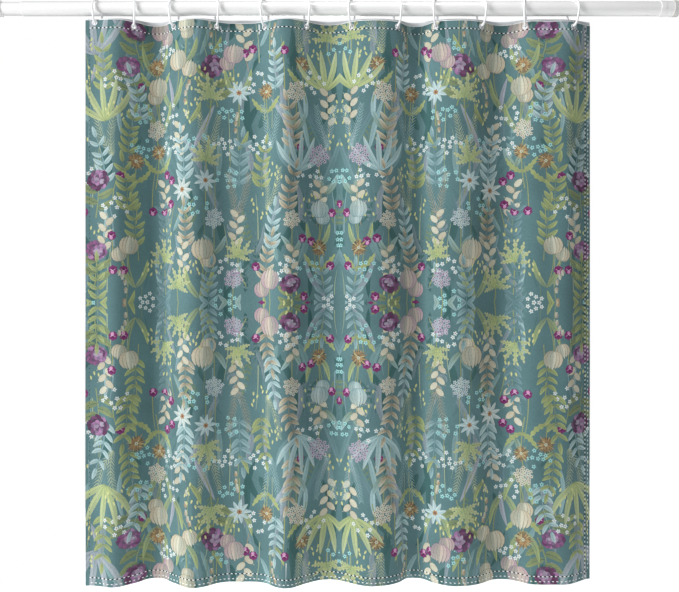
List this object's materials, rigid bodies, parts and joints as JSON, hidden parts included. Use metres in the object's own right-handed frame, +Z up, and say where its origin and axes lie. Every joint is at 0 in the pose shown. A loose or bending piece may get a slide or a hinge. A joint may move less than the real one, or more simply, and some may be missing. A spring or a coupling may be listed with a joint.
{
  "type": "shower curtain",
  "caption": "Printed fabric shower curtain with a plain liner, hung by eyelets from snap rings that slide on a telescopic spring tension rod.",
  "frame": {"origin": "centre of the right foot's wall face, on the rod's axis", "axes": "+X along the rod and out of the right foot into the wall, +Z up, -Y towards the room"},
  "size_m": [2.29, 0.074, 1.923],
  "materials": {
    "rod_white": "gloss",
    "cap_plastic": "gloss",
    "foot_rubber": "matte",
    "mechanism_plastic": "matte",
    "mechanism_steel": "satin",
    "ring_plastic": "gloss",
    "eyelet_metal": "gloss",
    "curtain_cloth": "matte",
    "thread": "matte",
    "liner_film": "satin"
  },
  "bodies": {
    "rod": {"outer_tube": "rod_white", "right_cap": "cap_plastic", "right_foot": "foot_rubber", "mouth_bush": "cap_plastic"},
    "lock": {"lock_cone": "mechanism_plastic", "lock_sleeve": "mechanism_plastic", "spindle": "mechanism_steel", "spindle_nut": "mechanism_steel", "preload_spring": "mechanism_steel"},
    "inner_rod": {"inner_tube": "rod_white", "inner_bush": "mechanism_plastic", "left_cap": "cap_plastic", "left_foot": "foot_rubber"},
    "lead_ring": {"ring_01": "ring_plastic", "eyelet_01": "eyelet_metal"},
    "cloth": {"curtain_panel": "curtain_cloth", "header_band": "curtain_cloth", "bottom_hem": "curtain_cloth", "left_hem": "curtain_cloth", "right_hem": "curtain_cloth", "top_stitching": "thread", "bottom_stitching": "thread", "left_stitching": "thread", "right_stitching": "thread", "liner_panel": "liner_film"},
    "hanger_02": {"ring_02": "ring_plastic", "eyelet_02": "eyelet_metal"},
    "hanger_03": {"ring_03": "ring_plastic", "eyelet_03": "eyelet_metal"},
    "hanger_04": {"ring_04": "ring_plastic", "eyelet_04": "eyelet_metal"},
    "hanger_05": {"ring_05": "ring_plastic", "eyelet_05": "eyelet_metal"},
    "hanger_06": {"ring_06": "ring_plastic", "eyelet_06": "eyelet_metal"},
    "hanger_07": {"ring_07": "ring_plastic", "eyelet_07": "eyelet_metal"},
    "hanger_08": {"ring_08": "ring_plastic", "eyelet_08": "eyelet_metal"},
    "hanger_09": {"ring_09": "ring_plastic", "eyelet_09": "eyelet_metal"},
    "hanger_10": {"ring_10": "ring_plastic", "eyelet_10": "eyelet_metal"},
    "hanger_11": {"ring_11": "ring_plastic", "eyelet_11": "eyelet_metal"},
    "hanger_12": {"ring_12": "ring_plastic", "eyelet_12": "eyelet_metal"}
  },
  "joints": [
    {"name": "length_set", "type": "slide", "parent": "rod", "child": "lock", "axis": [-1, 0, 0], "range_m": [-0.04, 0.3]},
    {"name": "preload_travel", "type": "slide", "parent": "lock", "child": "inner_rod", "axis": [1, 0, 0], "range_m": [-0.02, 0.025], "stiffness_N_per_m": 1500, "deforming": ["preload_spring"]},
    {"name": "park", "type": "slide", "parent": "rod", "child": "lead_ring", "axis": [1, 0, 0], "range_m": [-0.15, 0.17]},
    {"name": "swing", "type": "hinge", "parent": "lead_ring", "child": "cloth", "pos_m": [-0.345, 0.005, -0.059], "axis": [1, 0, 0], "range_deg": [-10, 10]},
    {"name": "slide_02", "type": "slide", "parent": "lead_ring", "child": "hanger_02", "axis": [1, 0, 0], "range_m": [0, 0.1064]},
    {"name": "slide_03", "type": "slide", "parent": "lead_ring", "child": "hanger_03", "axis": [1, 0, 0], "range_m": [0, 0.2028]},
    {"name": "slide_04", "type": "slide", "parent": "lead_ring", "child": "hanger_04", "axis": [1, 0, 0], "range_m": [0, 0.304]},
    {"name": "slide_05", "type": "slide", "parent": "lead_ring", "child": "hanger_05", "axis": [1, 0, 0], "range_m": [0, 0.3884]},
    {"name": "slide_06", "type": "slide", "parent": "lead_ring", "child": "hanger_06", "axis": [1, 0, 0], "range_m": [0, 0.4896]},
    {"name": "slide_07", "type": "slide", "parent": "lead_ring", "child": "hanger_07", "axis": [1, 0, 0], "range_m": [0, 0.5888]},
    {"name": "slide_08", "type": "slide", "parent": "lead_ring", "child": "hanger_08", "axis": [1, 0, 0], "range_m": [0, 0.6819]},
    {"name": "slide_09", "type": "slide", "parent": "lead_ring", "child": "hanger_09", "axis": [1, 0, 0], "range_m": [0, 0.7877]},
    {"name": "slide_10", "type": "slide", "parent": "lead_ring", "child": "hanger_10", "axis": [1, 0, 0], "range_m": [0, 0.8822]},
    {"name": "slide_11", "type": "slide", "parent": "lead_ring", "child": "hanger_11", "axis": [1, 0, 0], "range_m": [0, 0.9707]},
    {"name": "draw", "type": "slide", "parent": "lead_ring", "child": "hanger_12", "axis": [1, 0, 0], "range_m": [0, 1.05056], "deforming": ["curtain_panel", "header_band", "bottom_hem", "left_hem", "right_hem", "top_stitching", "bottom_stitching", "left_stitching", "right_stitching", "liner_panel"]}
  ],
  "couplings": [
    {"joint": "slide_02", "follows": "draw", "ratio": 0.10077},
    {"joint": "slide_03", "follows": "draw", "ratio": 0.1926},
    {"joint": "slide_04", "follows": "draw", "ratio": 0.2889},
    {"joint": "slide_05", "follows": "draw", "ratio": 0.36926},
    {"joint": "slide_06", "follows": "draw", "ratio": 0.46556},
    {"joint": "slide_07", "follows": "draw", "ratio": 0.55995},
    {"joint": "slide_08", "follows": "draw", "ratio": 0.6486},
    {"joint": "slide_09", "follows": "draw", "ratio": 0.74936},
    {"joint": "slide_10", "follows": "draw", "ratio": 0.83929},
    {"joint": "slide_11", "follows": "draw", "ratio": 0.92347}
  ]
}
